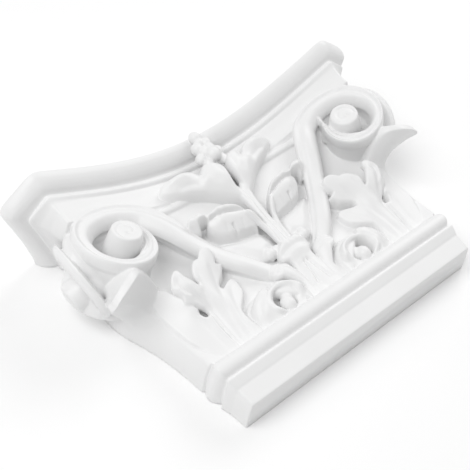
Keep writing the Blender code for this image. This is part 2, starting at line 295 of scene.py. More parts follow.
def slab(stops, top, thick, rim):
    """A leaf cut to an outline: z = top(x, y, d) on its face, d being the distance in from the
    outline. Face and underside close on a rounded rim: they lie thick/2·(1 ∓ sqrt(1 - (1 -
    d/rim)²)) below top. Grid points just past the outline are drawn onto it, the rest beyond are
    left out, and a wall joins the two surfaces' edges."""
    loop = loop_through(stops, 160)
    lo, hi = loop.min(0) - 2 * LEAF_STEP, loop.max(0) + 2 * LEAF_STEP
    x, y = np.meshgrid(*(np.arange(a, b, LEAF_STEP) for a, b in zip(lo, hi)), indexing="ij")
    d, qx, qy = inside(x, y, loop)
    kept = d > -0.7 * LEAF_STEP
    edge = kept & (d < 0.3 * LEAF_STEP)
    x, y, d = np.where(edge, qx, x), np.where(edge, qy, y), np.where(edge, 0.0, np.maximum(d, 0.0))
    full = np.sqrt(1 - (1 - np.minimum(d / rim, 1.0)) ** 2)
    face = top(x, y, d)
    body = thick(x, y) if callable(thick) else thick
    upper, under = face - body / 2 * (1 - full), face - body / 2 * (1 + full)
    n = x.size
    k = np.arange(n).reshape(x.shape)
    cells = kept[:-1, :-1] & kept[1:, :-1] & kept[1:, 1:] & kept[:-1, 1:]
    quads = np.stack([k[:-1, :-1], k[1:, :-1], k[1:, 1:], k[:-1, 1:]], -1)[cells]
    edges = np.stack([quads, np.roll(quads, -1, 1)], -1).reshape(-1, 2)
    free = ~np.isin(edges[:, 0] * n + edges[:, 1], edges[:, 1] * n + edges[:, 0])
    a, b = edges[free, 0], edges[free, 1]
    wall = np.stack([b, a, a + n, b + n], -1)
    points = np.vstack([np.stack([x, y, z], -1).reshape(-1, 3) for z in (upper, under)])
    quads = np.vstack([quads, quads[:, ::-1] + n, wall])
    used, quads = np.unique(quads, return_inverse=True)
    return outward((points[used], quads.reshape(-1, 4), np.zeros((0, 3), int)))


def left_of(shape):
    """The same shape on the left half: x changes sign and every face is turned round."""
    points, quads, tris = shape
    return points * (-1.0, 1.0, 1.0), quads[:, ::-1], tris[:, ::-1]


def both(shapes):
    """Every shape and its left copy."""
    return shapes + [left_of(s) for s in shapes]


# ---- Blender objects

def settle(points):
    """Millimetres from the base's underside into the frame's metres."""
    return (points - (0.0, TALL / 2, 0.0)) / M


def mesh_of(name, shapes):
    """One mesh from closed shapes, in the frame's metres."""
    quads, tris, start = [], [], 0
    for points, q, t in shapes:
        quads.append(q + start)
        tris.append(t + start)
        start += len(points)
    points = settle(np.vstack([s[0] for s in shapes])).astype(np.float32)
    quads, tris = np.vstack(quads), np.vstack(tris)
    corners = np.r_[quads.ravel(), tris.ravel()].astype(np.int32)
    starts = np.r_[np.arange(len(quads)) * 4, len(quads) * 4 + np.arange(len(tris)) * 3]
    data = bpy.data.meshes.new(name)
    data.vertices.add(len(points))
    data.vertices.foreach_set("co", points.ravel())
    data.loops.add(len(corners))
    data.loops.foreach_set("vertex_index", corners)
    data.polygons.add(len(starts))
    data.polygons.foreach_set("loop_start", starts.astype(np.int32))
    data.update(calc_edges=True)
    return data


def keep_part(name, shapes):
    """A part of the casting, waiting to be fused."""
    if not shapes:
        raise RuntimeError(f"{name}: nothing was made")
    part = bpy.data.objects.new(name, mesh_of(name, shapes))
    part[PART_TAG] = True
    bpy.context.scene.collection.objects.link(part)
    return part


# ---- the plain body

# height, x at the wall, x and depth of the front corner, depth on the centre line
BELL = (
    (34.4, 108.2, 103.6, 26.8, 17), (47, 109.7, 104.8, 25.2, 17.2), (60, 111.7, 105.8, 24.4, 17.5),
    (71, 114.1, 106.5, 24.4, 17.9), (83, 117.5, 106.9, 25.6, 18.5), (94, 121.5, 107.4, 27.4, 19.4),
    (104, 124, 108, 29.5, 21), (120, 125, 110, 31.5, 25), (134, 126, 112.5, 34.5, 29),
    (147.5, 126.5, 115.5, 47, 31.5))
# (x, z) on the abacus's top edge, where the horn's face meets the front and the side
HORN_FRONT, HORN_SIDE = (WIDE / 2 - 25.0, DEEP + 2.2), (WIDE / 2 + 2.0, DEEP - 17.4)
SHAFT_HALF = 100.0       # half the width of the base's lowest edge
BASE_DEEP = 22.6         # its depth
TORUS = (28.0, 1.0, 6.4)  # height and stand-out of the torus's middle, and its radius
TORUS_FOOT = 21.6        # where the torus begins, above the sunk line
BELL_FOOT = (26.5, 34.4)  # the torus's ends grow to the bell's foot between these heights
ABACUS_MIDDLE = 45.3     # depth of the abacus's top edge on the centre line
ABACUS_WALL = 135.5      # its x at the wall
LIP = 145.0              # height of the bead round the top of the bell
CAVETTO = 150.5          # underside of the abacus
OVOLO = 173.4            # underside of its top roll
# (height, stand-out) up the base, and (height, set-back from the top edge) up the abacus
BASE_PROFILE = ((0, 0), (12.8, 2.3), (13.3, 2.9), (19, 5.7), (19.4, 5.5), (19.8, 3), (21.6, 2.6))
ABACUS_PROFILE = (
    (CAVETTO - 0.4, 19), (CAVETTO, 17.8), (153.5, 17.4), (157, 17), (161, 16.2), (164.5, 15),
    (166.4, 14.4), (167.4, 14.9), (168.1, 14.7), (168.7, 13), (169.5, 12.2), (170.4, 11.7),
    (171.2, 11.6), (171.9, 12.1), (172.6, 12.7), (173.4, 12.6), (174.1, 11.6), (174.6, 10),
    (174.9, 8.7), (176.5, 6.1), (178.5, 3.9), (181, 1.9), (183.5, 0.7), (185.2, 0.3), (185.7, 0.7),
    (186, 1.6))


def bell_at(y):
    """At height y: x at the wall, x and depth of the front corner, depth on the centre line."""
    levels, *rows = np.array(BELL).T
    return [np.interp(y, levels, row) for row in rows]


def bell_depth(x, y):
    """Depth of the bell's front: middle + (corner - middle)·(|x|/reach)^2.5."""
    _, reach, corner, middle = bell_at(y)
    return middle + (corner - middle) * np.minimum(np.abs(x) / reach, 1.12) ** 2.5


def base_levels():
    """Heights and stand-out of the base: two slanted bands, a sunk line and a half-round torus."""
    y, out = np.array(BASE_PROFILE).T
    fine = np.arange(0.0, TORUS_FOOT, 0.55)
    bow = np.radians(np.linspace(-80, 80, 26))
    height, stand, radius = TORUS
    return (np.r_[fine, height + radius * np.sin(bow)],
            np.r_[np.interp(fine, y, out), stand + radius * np.cos(bow)])


def bell_swell(s):
    """How the front of the base and the bell comes forward towards its corner: s^2.5."""
    return s**2.5


def abacus_swell(s):
    """The same for the abacus: 1.2466·s² - 0.2466·s⁴."""
    return 1.2466 * s**2 - 0.2466 * s**4


def half_outline(y, wall, side, front, middle, swell, bow=2.0):
    """Half outlines for all levels at once, as levels × stations × 3, from the wall to the centre
    line. Side: x = wall + (side x - wall)·(z/side z)^bow. Then the straight horn face. Front:
    z = middle + (front z - middle)·swell(x/front x)."""
    wall, middle = wall[:, None], middle[:, None]
    (side_x, side_z), (front_x, front_z) = [[v[:, None] for v in pair] for pair in (side, front)]
    t = np.linspace(0, 1, 40)[None]
    wing_z = WALL + (side_z - WALL) * t
    wing_x = wall + (side_x - wall) * np.clip(wing_z / side_z, 0, 1) ** bow
    c = np.linspace(0, 1, 18)[None, 1:-1]
    s = 1 - np.linspace(0, 1, 110)[None]
    x = np.hstack([wing_x, side_x + (front_x - side_x) * c, front_x * s])
    z = np.hstack([wing_z, side_z + (front_z - side_z) * c, middle + (front_z - middle) * swell(s)])
    return np.stack([x, np.broadcast_to(y[:, None], x.shape), z], -1)


def body_shape():
    """Base, bell with its lip, and abacus as one closed block of outlines. Fourteen rounds of
    (1, 2, 1)/4 averaging soften each outline above the ovolo, three rounds below it. The abacus's
    second fillet stands on the middle of the front and fades out at the horns."""
    y, out = base_levels()
    x, z = SHAFT_HALF + 0.6 * out, BASE_DEEP + out
    wall = np.maximum(x + 2.9 + 1.3 * rise(TORUS_FOOT, TORUS[0], y),
                      np.interp(y, BELL_FOOT, [0.0, 108.4]))
    side = np.maximum(x + 0.1, np.interp(y, BELL_FOOT, [0.0, 104.2]))
    front = np.minimum(x - 0.9, side - 0.9), z
    base = half_outline(y, wall, (side, z - 0.9), front, z, bell_swell)
    y = np.arange(35.0, LIP - 3, 1.5)
    wall, reach, corner, middle = bell_at(y)
    bell = half_outline(y, wall, (reach + 0.8, corner - 1.8), (reach - 1.0, corner - 0.4), middle,
                        bell_swell)
    y = LIP + np.array([-2.4, -1.4, -0.6, 0, 0.7, 1.5, 2.4, 3.2])
    wall, reach, corner, middle = bell_at(y)
    bead = 2.4 * np.sqrt(np.clip(1 - ((y - LIP - 0.3) / 2.6) ** 2, 0, 1))
    lip = half_outline(y, wall + bead, (reach + 1.2 + bead, corner - 2.5 + bead),
                       (reach - 1.6 + bead, corner - 0.6 + bead), middle + bead, bell_swell)
    steps, insets = np.array(ABACUS_PROFILE).T
    y = np.r_[np.arange(CAVETTO - 0.4, TALL - 0.1, 0.45), TALL]
    fillet = (steps > 167) & (steps < 168.5)
    inset, horn = np.interp(y, steps, insets), np.interp(y, steps[~fillet], insets[~fillet])
    side = HORN_SIDE[0] - 23.0 * (horn / 17) ** 1.6, HORN_SIDE[1] - 13.0 * (horn / 17) ** 3
    front = HORN_FRONT[0] - 0.14 * horn, HORN_FRONT[1] - horn
    abacus = half_outline(y, ABACUS_WALL - 0.95 * horn, side, front, ABACUS_MIDDLE - inset,
                          abacus_swell, 1.25)
    half = np.vstack([base, bell, lip, abacus])
    whole = np.hstack([half * (-1.0, 1.0, 1.0), half[:, -2::-1]])
    crisp, level = whole, whole[:, :1, 1]
    for turn in range(14):
        whole = whole.copy()
        whole[:, 1:-1] = (whole[:, :-2] + 2 * whole[:, 1:-1] + whole[:, 2:]) / 4
        crisp = whole if turn == 2 else crisp
    blend = rise(OVOLO + 1, OVOLO + 6, level)[..., None]
    return block(crisp + (whole - crisp) * blend)


# ---- volutes

VOLUTE = (98.5, 127.0, 54.0)       # centre of the front volute's leaning face
LEAN = 0.31                        # how much that face comes forward per unit of width
SIDE_VOLUTE = (132.1, 127.0, 26.5)
EYE_PLACE = (98.2, 126.8, 54.0)
SIDE_DRUM = 0.78                   # size of the side volute's drum beside the front one's
# the stalk's middle line (x, y, z), half width and share of scroll, from its foot to the volute
STALK = (
    (9, 57, 16, 5, 0), (17, 65, 20.5, 6, 0), (26.5, 74, 25, 6.8, 0), (34, 82.5, 28, 7.1, 0),
    (40.5, 91, 29.2, 7.2, 0), (46.8, 100, 31, 7.3, 0.05), (52.5, 109.5, 34, 7.6, 0.2),
    (58.2, 119.2, 38.2, 8.1, 0.45), (63.6, 129, 42.4, 8.6, 0.7), (69.2, 138, 45.2, 8.7, 0.9))
# the spiral: degrees turned from the left, outer and inner edge's distance from the centre
SPIRAL = (
    (38, 38, 21.4), (55, 35, 19.6), (72, 33.2, 18.3), (90, 32, 17.4), (112, 32, 17.2),
    (135, 32.6, 17.6), (157, 32, 18.2), (180, 30.4, 18.8), (202, 29, 19), (225, 28, 18.4),
    (247, 27, 17), (270, 25.6, 14.8), (293, 23.6, 13), (317, 21, 12), (337, 19, 11.5),
    (360, 17.4, 11.2), (382, 16.6, 11), (405, 16, 10.9), (427, 15.6, 10.8))


def ribbon_line():
    """The ribbon's middle line as rows of x, y, z, half width and share of spiral, from the stalk's
    foot to the eye."""
    turn, outer, inner = np.array(SPIRAL).T
    way = np.radians(180.0 - turn)
    mid = (outer + inner) / 2
    x, y = VOLUTE[0] + mid * np.cos(way), VOLUTE[1] + mid * np.sin(way)
    z = VOLUTE[2] + LEAN * (x - VOLUTE[0]) - 9.0 * rise(380, 430, turn)
    scroll = np.stack([x, y, z, (outer - inner) / 2, 1 + rise(240, 300, turn)], -1)
    return np.vstack([STALK, scroll])


def ribbon_section(half, curl, flat, wall, fall):
    """The ribbon's section for every station, a running from -1 at the outer edge to 1 at the inner
    one. Stalk: 0.9·(1 - a²) with a channel near the outer edge. Spiral: a rim by the outer edge, a
    low ridge on the middle, and fall·((a - 0.18)/0.82)^1.8 off the inner side; on its last turn,
    flat takes up four fifths of that fall and cuts a line there. Both edges are rounded over bend,
    under which the section narrows down to the wall's depth and closes on a low keel."""
    a = np.linspace(-1, 1, 37)[None]
    half, curl, flat = half[:, None], curl[:, None], flat[:, None]

    def swelling(middle, wide):
        return np.exp(-((a - middle) / wide) ** 2)
    stalk = 0.9 * (1 - a**2) - 0.9 * swelling(-0.52, 0.15) + 0.4 * swelling(-0.15, 0.3)
    scroll = (1.0 * swelling(-0.76, 0.17) - 0.5 * swelling(-0.36, 0.2) + 0.5 * swelling(0.02, 0.2)
              - fall * np.clip((a - 0.18) / 0.82, 0, 1) ** 1.8 * (1 - 0.8 * flat)
              + flat * (0.5 * swelling(0.74, 0.14) - 1.1 * swelling(0.46, 0.12)))
    bend = np.minimum(1.6 + 2.6 * (1 - curl), 0.8 * wall)
    corner = np.minimum(bend / half, 0.9)
    over = np.clip((np.abs(a) - (1 - corner)) / corner, 0, 1)
    face = stalk * (1 - curl) + scroll * curl - bend * (1 - np.sqrt(1 - over**2))
    low = np.linspace(0, 1, 6)[None, 1:]
    drop = -bend - (wall - bend) * low
    inner = np.minimum(drop, face[:, -1:] - 0.5)
    width = np.where(low > 0.5, 1 - 0.35 * (low - 0.5) * 2, 1.0)
    keel = (np.ones_like(half) * 0.55) * half * [[1.0, 0.5, 0.0, -0.5, -1.0]]
    across = np.hstack([a * half, width * half, keel, -width[:, ::-1] * half])
    under = np.minimum(-wall * np.array([[1.3, 1.4, 1.4, 1.4, 1.3]]), inner[:, -1:] - 1.0)
    out = np.hstack([face, inner, under, (face[:, :1] + drop)[:, ::-1]])
    return across, out


def ribbon_shape(rows, place=None, wall=10.0, fall=7.0):
    """The ribbon swept along its line; place moves the line and its facing, for the side volute.
    The fourth value of a row is the half width; the fifth is curl up to 1 and flat beyond."""
    t = np.linspace(0, 1, 260)
    line = along(rows, t)
    path, half = line[:, :3], np.maximum(line[:, 3], 0.6)
    curl, flat = np.clip(line[:, 4], 0, 1), np.clip(line[:, 4] - 1, 0, 1)
    facing = np.stack([-LEAN * np.ones_like(curl), 0.2 * (1 - curl), np.ones_like(curl)], -1)
    if place is not None:
        path, facing = place(path, facing)
    across, out = ribbon_section(half, curl, flat, wall, fall)
    return sweep(path, facing, across, out)


def to_side(path, facing):
    """From the front volute's place to the side one's: width becomes depth, and height above the
    leaning face becomes width."""
    u = path[:, 0] - VOLUTE[0]
    v = path[:, 1] - VOLUTE[1]
    h = path[:, 2] - VOLUTE[2] - LEAN * u
    x, y, z = SIDE_VOLUTE
    placed = np.stack([x + LEAN * u + h, y + v, z + u - LEAN * h], -1)
    return placed, facing[:, ::-1]


EYE = (
    (13.8, -25), (12.9, -14), (12.4, -10), (11.8, -5), (11.2, 0), (10.8, 2), (10.5, 3.6),
    (10.2, 4.8), (9.8, 5.5), (9.2, 5.9), (8.4, 6), (7.4, 6), (6.2, 6), (4.8, 6), (3.6, 6), (2.4, 6),
    (1.2, 6))


def eye_spiral(radius, angle):
    """A faint groove that winds in on the eye's flat top: -1.1·exp(-((radius - line)/0.9)²), where
    line = 7.6 - 0.85·angle."""
    far = radius - (7.6 - 0.85 * np.mod(angle + 0.6, 2 * np.pi))
    return np.where(radius < 9.0, -1.1 * np.exp(-(far / 0.9) ** 2), 0.0)


# the drum under a volute: height from its face, and its radius where the spiral is wide and narrow
DRUM = (
    (-3, 29.6, 13.5), (-8, 31, 15.2), (-12, 31, 15.6), (-16, 30.6, 15.8), (-20, 30.2, 16),
    (-25, 29.8, 16.4), (-30, 29.6, 17), (-36, 30, 18.5), (-46, 31, 21))
# the pit in its front: height from the face, and the share of the drum's inner radius
PIT = (
    (-4, 0.94), (-5.5, 0.84), (-9, 0.78), (-14, 0.74), (-19, 0.7), (-20.5, 0.62), (-21, 0.3),
    (-21, 0.1))


def drum_shape(centre, u, v, out, side_deep, scale=1.0):
    """The drum that carries a volute. Its outline follows the spiral's outer edge over one turn:
    radius = narrow + (wide - narrow)·share, share running from 0 where that edge is 16 out to 1
    where it is 32. A sunk pit closes it in front. Nothing of it goes deeper than side_deep."""
    turn, outer, _ = np.array(SPIRAL).T
    psi = np.linspace(90, 450, 96, endpoint=False)
    edge = np.interp(psi, turn, outer)
    edge = edge + (31.0 - edge) * rise(392, 450, psi)
    share = ((edge - 16.0) / 16.0)[None]
    deep, wide, narrow = np.array(DRUM)[::-1].T[:, :, None]
    deep = np.maximum(deep, side_deep)
    radius = (narrow + (wide - narrow) * share) * scale
    shut, part = np.array(PIT).T[:, :, None]
    shut = np.maximum(shut, side_deep + 3.0)
    inner = (13.5 + 15.5 * share) * part * scale
    radius, deep = np.vstack([radius, inner]), np.vstack([deep, shut])
    way = np.radians(180 - psi)[None]
    rings = (np.array(centre, float) + (radius * np.cos(way))[..., None] * u
             + (radius * np.sin(way))[..., None] * v + (deep + 0 * way)[..., None] * out)
    return skin(rings)


def front_volute():
    """Stalk and spiral, the drum behind them and the raised eye."""
    out = np.array((-LEAN, 0.0, 1.0)) / math.hypot(LEAN, 1.0)
    u, v = np.array((1.0, 0.0, LEAN)), np.array((0.0, 1.0, 0.0))
    return [ribbon_shape(ribbon_line()), drum_shape(VOLUTE, u, v, out, -46.0),
            turned(EYE, EYE_PLACE, out, 64, eye_spiral)]


WEB = ((118, 152, 48), (128.5, 144, 52), (132, 132, 54), (130, 122, 49.5), (125, 114, 40))


def side_volute():
    """The like volute on the side face, its back half left to the wall's cut, and the web between
    the two volutes."""
    out = np.array((1.0, 0.0, -LEAN)) / math.hypot(LEAN, 1.0)
    u, v = np.array((LEAN, 0.0, 1.0)), np.array((0.0, 1.0, 0.0))
    web = tendril(WEB, (4.4, 3.8, 3.6, 3.4, 3.0), (4.4, 4.2, 4.0, 3.8, 3.4), (0.6, 0.0, 0.8))
    button = np.array(EYE)[2:] + (0, 4.0)
    return [ribbon_shape(ribbon_line()[8:], to_side, 2.2, 2.4),
            drum_shape(SIDE_VOLUTE, u, v, out, -12.0, SIDE_DRUM),
            turned(button, SIDE_VOLUTE, out, 56), web]


# ---- the corner leaf

# rows from the body to the tip; each row's underside runs from the side edge through the corner's
# ridge, its middle point, to the front edge
CORNER_LEAF = (
    ((109.6, 60, 8), (107.8, 58, 15.5), (104.6, 56, 22.4), (97, 57, 21.4), (88, 60, 20.4)),
    ((113.2, 75, 8), (110.6, 75, 16), (106.6, 75, 23.6), (99, 75, 23), (88.5, 78, 22)),
    ((117, 88, 9), (113.8, 87, 17.5), (109.6, 85.5, 25.2), (102, 85, 25.2), (91, 88, 24.5)),
    ((120.5, 96, 12), (116.8, 93.5, 20.5), (112.4, 91.5, 28.2), (105, 91.5, 32), (95, 95, 33)),
    ((124, 100, 17), (120.8, 96, 25.5), (116.2, 93, 33), (109, 93, 41.5), (100.5, 99, 45.5)),
    ((127.5, 100, 24), (125.2, 95.5, 32), (121.8, 92.3, 39.4), (115.8, 91.5, 49), (109, 96, 56)),
    ((130.5, 97, 32.5), (129.6, 92.5, 39), (128.1, 89.6, 45.4), (123.6, 88.6, 52.4),
     (118.5, 90, 59.2)),
    ((133, 91.5, 41.5), (132.8, 89, 45), (132.1, 87.3, 48.6), (129.8, 86.6, 53), (127.5, 86.4, 57)),
    ((135.4, 87.4, 47), (135.4, 86.2, 48.4), (135.3, 85.4, 50), (134.6, 85, 51.6),
     (133.4, 84.8, 53.2)))
CORNER_ROOF = (
    (100, 75, 10), (100, 90, 14), (101, 106, 18), (112, 122, 32), (119, 124, 38),
    (122.5, 121, 40.5), (124.5, 112, 42), (128, 99.6, 45.6), (133.6, 91, 50.2))
CORNER_RIM = (1, 1, 2, 3, 4.5, 5, 5.2, 5.4, 5.4)


def corner_leaf():
    """A beak on the corner's diagonal. Its underside is a sheet through the rows: each half of a
    row is its own smooth curve, so the ridge stays crisp. A rim stands on the sheet's two edges,
    and a roof rises to its own middle line as rim + (roof - rim)·w^0.9. Low rings are eased so that
    they melt into the body."""
    rows = np.array(CORNER_LEAF, float)
    t, v = np.linspace(0, 1, 80), np.linspace(0, 1, 21)
    halves = [along(part.transpose(1, 0, 2).reshape(3, -1), v).reshape(21, len(rows), 3)
              for part in (rows[:, :3], rows[:, 2:])]
    lanes = np.concatenate([halves[0], halves[1][1:]])
    under = along(lanes.transpose(1, 0, 2).reshape(len(rows), -1), t).reshape(80, 41, 3)
    roof, rim = along(CORNER_ROOF, t)[:, None], along(CORNER_RIM, t)[:, None, None]
    up = np.array([0.0, 1.0, 0.15])
    front, side = under[:, -1:] + up * rim, under[:, :1] + up * rim
    w = np.linspace(0, 1, 14)[None, 1:-1, None]
    bend = w ** 0.9
    down = front + (roof - front) * bend
    back = side + (roof - side) * bend
    rings = np.concatenate([under, front, down, roof, back[:, ::-1], side], 1)
    return skin(ease(rings, 16, 1.0 - rise(0.25, 0.7, t)))


# ---- leaves on the bell

def leaf(outline, pegs, lines=(), thick=7.0, rim=2.4, dome=0.0):
    """A slab on pegs: its face is the pegged height + dome·rise(0, 5, distance in) + every line."""
    heights = pegged(pegs)

    def top(x, y, d):
        z = heights(x, y) + dome * rise(0, 5, d)
        for line, deep, width, ends in lines:
            z = z + crease(x, y, line, deep, width, ends)
        return z
    return slab(outline, top, thick, rim)


TALL_LEAF = (
    (56.5, 31.5), (58.5, 38), (60.3, 45), (61.4, 50), (60.8, 54.5), (57.4, 58), (52.6, 62.4),
    (49.4, 66.4), (48.1, 70), (47.5, 73.6), (47.2, 76.6), (48.8, 79), (51.8, 79.2), (56, 77.4),
    (60.1, 74.9), (62.3, 74.3), (61.6, 76.4), (59.3, 78.5), (56.5, 80.8), (54, 82.7), (52.5, 85.1),
    (50.4, 87.3), (50.2, 89.8), (52.5, 90.5), (54.2, 90.2), (52.7, 92.6), (51.8, 95.4),
    (51.4, 98.4), (52.7, 100.8), (55.2, 101.8), (58.3, 101.4), (61.2, 100), (63.4, 97.8),
    (65, 96.2), (66.5, 96.4), (69.2, 95.8), (71.8, 93.8), (74.2, 90.6), (76, 87.2), (76.3, 84.2),
    (75.7, 80.8), (76.3, 79.8), (77.6, 81.6), (79.4, 84.4), (81.4, 87), (82.6, 89), (82.5, 91.4),
    (83.4, 93.3), (85.2, 94), (87.6, 93.2), (90.4, 91), (92.8, 87.8), (94, 84.2), (93, 81.6),
    (91.6, 79.4), (91, 77.4), (91.6, 75.3), (90.7, 73.4), (88.4, 71.6), (86, 70.4), (83.8, 68.4),
    (81.7, 66.3), (81.3, 63.2), (81.6, 57), (80.7, 48.5), (80, 40), (79.6, 31.5))
TALL_LEAF_PEGS = (
    (62, 34, 22.5), (75, 34, 23.5), (60, 50, 24.5), (70, 50, 27), (80, 50, 26), (80, 38, 24),
    (75.5, 80, 37.2), (81.5, 65, 29.6), (85, 92, 44), (93, 84, 41), (60.7, 74.7, 28.5),
    (55, 100.5, 38.4), (62, 90, 37), (70.5, 95, 40), (48.6, 78.3, 24), (51, 88, 29.5), (66, 66, 30),
    (73, 70, 32.8), (90, 76, 37), (84, 80, 40.5), (52, 66, 24.5))
TALL_LEAF_LINES = (
    (((72, 33), (70.5, 50), (67, 66), (62.5, 82), (58, 96)), 0.8, 2, 0.15),
    (((66, 33), (65, 48), (62, 60), (57, 70), (51, 76)), 0.7, 1.8, 0.2),
    (((77.6, 32), (78, 44), (78.2, 56), (77.8, 68), (76.2, 78)), 0.8, 1.1, 0.08),
    (((79, 60), (81.5, 70), (85.5, 77), (88.5, 83), (88, 90)), 1, 1.6, 0.15),
    (((76, 66), (74, 76), (72, 84), (70, 92)), 0.6, 1.6, 0.2),
    (((84, 74), (88, 76.5), (90.5, 80), (90.8, 85)), -0.9, 1.3, 0.2),
    (((80, 72), (83, 79), (84.5, 86), (84.6, 92)), -0.7, 1.5, 0.2))


def tall_leaf():
    """The acanthus leaf beside the centre, thicker towards its low inner side."""
    def thick(x, y):
        return 6.0 + 7.0 * (1 - rise(60, 68, x)) * (1 - rise(86, 94, y))
    return leaf(TALL_LEAF, TALL_LEAF_PEGS, TALL_LEAF_LINES, thick=thick, rim=1.6)


PLATE = (
    (79.6, 33), (80.2, 46), (80.6, 54), (80.4, 61), (83, 66.6), (87, 71.6), (89.4, 78), (91.4, 85),
    (95, 93), (101, 95), (105.6, 92), (107.4, 84), (106.6, 74), (105.4, 64), (104.2, 56),
    (102.4, 51), (99.6, 44.6), (96, 38), (91.5, 34.4), (86, 32))
PLATE_PEGS = (
    (83, 40, 25), (83, 50, 26.8), (83.5, 60, 28.8), (88.5, 70, 32.2), (92, 78, 33.6), (94, 86, 34),
    (102, 93, 30.4), (107, 84, 27), (106.4, 74, 26.2), (104.6, 58, 26), (99, 46, 25.2),
    (92, 38, 24.6), (95, 60, 27.8), (99, 74, 28.8))


PLATE_LINES = (
    (((86, 37), (87, 48), (88.5, 60), (91, 70)), 0.5, 1.6, 0.2),
    (((83.4, 64.4), (83.9, 65.4), (84.4, 66.4)), 8, 1.9, 0))


def corner_plate():
    """The plain plate between the tall leaf's root and the bell's corner, ending in a rounded foot
    over the torus, with a vein and a deep hole by the leaf's root."""
    return leaf(PLATE, PLATE_PEGS, PLATE_LINES, thick=14.0, rim=1.6)


CURL = (34.2, 43.0)      # middle of the low curl
CURL_HALF = (16.6, 13.6)  # half width and half height of its ring
BUDS = (((35.0, 40.2, 24.6), (5.0, 6.2, 5.6)), ((32.6, 43.4, 23.0), (4.0, 5.6, 5.0)))
FINGER = (
    (59.5, 31.5), (60.3, 40), (59.8, 46), (58, 49.8), (55.4, 52.4), (52, 54.8), (48, 57),
    (44, 57.6), (41.2, 55.6), (41.6, 51.6), (44.6, 49), (46.2, 45), (46.4, 40), (45.5, 31.5))
FINGER_PEGS = (
    (60, 34, 22.5), (60, 46, 24.5), (55, 50, 28), (50, 54, 30), (44, 56, 31), (44, 50, 32),
    (47, 44, 31.5), (47, 36, 28.5), (53, 42, 28.5), (54, 35, 24))
FINGER_LINES = ((((57, 34), (56, 41), (53, 47), (48, 51.5)), 0.8, 1.6, 0.2),)


def low_curl():
    """The leaf end beside the middle, rolled round a deep eye with a bud in it, and the finger that
    holds it. Ring: z = 24.6 + 6.6·exp(-((r - 0.76)/0.26)²), r being the distance from the middle
    over (16.8, 14); the swelling sinks to a fifth at the lower left. The eye is sunk 10.5."""
    def ring_top(x, y, d):
        r = np.hypot((x - CURL[0]) / 16.8, (y - CURL[1]) / 14.0)
        swell = 0.2 + 0.8 * rise(33, 42, y + 0.3 * (x - CURL[0]))
        z = 24.6 + 6.6 * np.exp(-((r - 0.76) / 0.26) ** 2) * swell
        pit = 1 - rise(0.42, 0.60, np.hypot((x - CURL[0] - 1.2) / 14.0, (y - CURL[1]) / 15.0))
        line = [(22, 37), (22.5, 44), (26.5, 50), (33, 53), (40, 52)]
        return z - 10.5 * pit + crease(x, y, line, 0.5, 0.9)
    t = np.linspace(0, 2 * np.pi, 24, endpoint=False)
    outline = np.stack([CURL[0] + CURL_HALF[0] * np.cos(t), CURL[1] + CURL_HALF[1] * np.sin(t)], -1)
    ring = slab(outline, ring_top, 14.0, rim=3.0)
    finger = leaf(FINGER, FINGER_PEGS, FINGER_LINES, thick=8.0, rim=2.6, dome=0.8)
    return [ring, finger] + [globe(centre, radii) for centre, radii in BUDS]


# ---- the middle

MIDDLE_STEPS = (
    (32, 20.5), (38, 22.2), (46, 23.6), (54, 24.4), (60, 25), (64, 26.4), (67, 28.2), (69.2, 29.2),
    (71.2, 29), (72.8, 28.6), (74.6, 29.6), (76.4, 30.8), (78.6, 31), (81, 30))


# left side of the middle leaf, from its root to the notch on the centre line
MIDDLE_LEFT = (
    (-13.5, 31.5), (-12.5, 40), (-12, 48), (-11, 56), (-9.6, 62), (-9.8, 66.2), (-12.8, 68.6),
    (-14, 71.6), (-12.8, 75), (-9.5, 78.6), (-6, 80.6), (-2.4, 80.4), (0, 79.4))


def middle_leaf():
    """The low leaf on the centre line: two diverging grooves, a swelling, and a rolled collar above
    a hollow. Its height is a profile by y + 0.012·x², less 0.016·x² below and 0.028·x² on the
    collar."""
    y_steps, z_steps = np.array(MIDDLE_STEPS).T
    grooves = (((0.9, 63), (2.0, 57.5), (3.2, 50), (5.0, 42), (6.6, 35)), 1.9, 0.8, 0.1)
    notch = (((1.0, 83), (1.2, 79), (2.6, 75)), 0.6, 1.2, 0.2)

    def top(x, y, d):
        a = np.abs(x)
        z = (np.interp(y + 0.012 * a**2, y_steps, z_steps)
             - (0.016 + 0.012 * rise(60, 70, y)) * a**2)
        for side in (-1, 1):
            for line, deep, width, ends in (grooves, notch):
                z = z + crease(x, y, np.array(line) * (side, 1), deep, width, ends)
        return z
    right = tuple((-x, y) for x, y in MIDDLE_LEFT[-2::-1])
    return [slab(MIDDLE_LEFT + right, top, 9.0, rim=2.2)]


SMALL_TIP = (
    (8, 33), (8.4, 42), (8.6, 52), (9.6, 58), (10.8, 62.6), (12, 66.4), (15.6, 69.4), (20.5, 71.4),
    (25.4, 69.6), (28, 65.2), (27.6, 60.8), (25, 58.2), (21.8, 57), (19.4, 54.4), (16.8, 50.8),
    (15, 47), (17.5, 43), (18.5, 33))
SMALL_TIP_PEGS = (
    (9, 34, 20.5), (18, 34, 22.5), (9, 46, 22.4), (15, 48, 24.4), (10, 58, 24), (17, 57, 27.4),
    (25, 60, 27.6), (13, 65, 25.4), (21, 69.5, 25.4), (26.5, 66, 26.6), (20, 63.5, 28.2))
SMALL_TIP_LINES = (
    (((12, 61.4), (16.5, 63.2), (21.5, 62.6), (26.5, 60.5)), 1, 1, 0.2),
    (((13, 66.5), (17, 67.8), (22, 67.4), (26.5, 65)), 0.7, 1, 0.2))
SMALL_LOBE = (
    (16.4, 46.6), (18, 50.4), (20.6, 53.8), (23.8, 56.4), (28.4, 58.4), (34, 58.6), (39.6, 57.4),
    (43, 54), (38, 50), (30, 44), (24, 38), (20, 33), (17, 33), (16, 40))
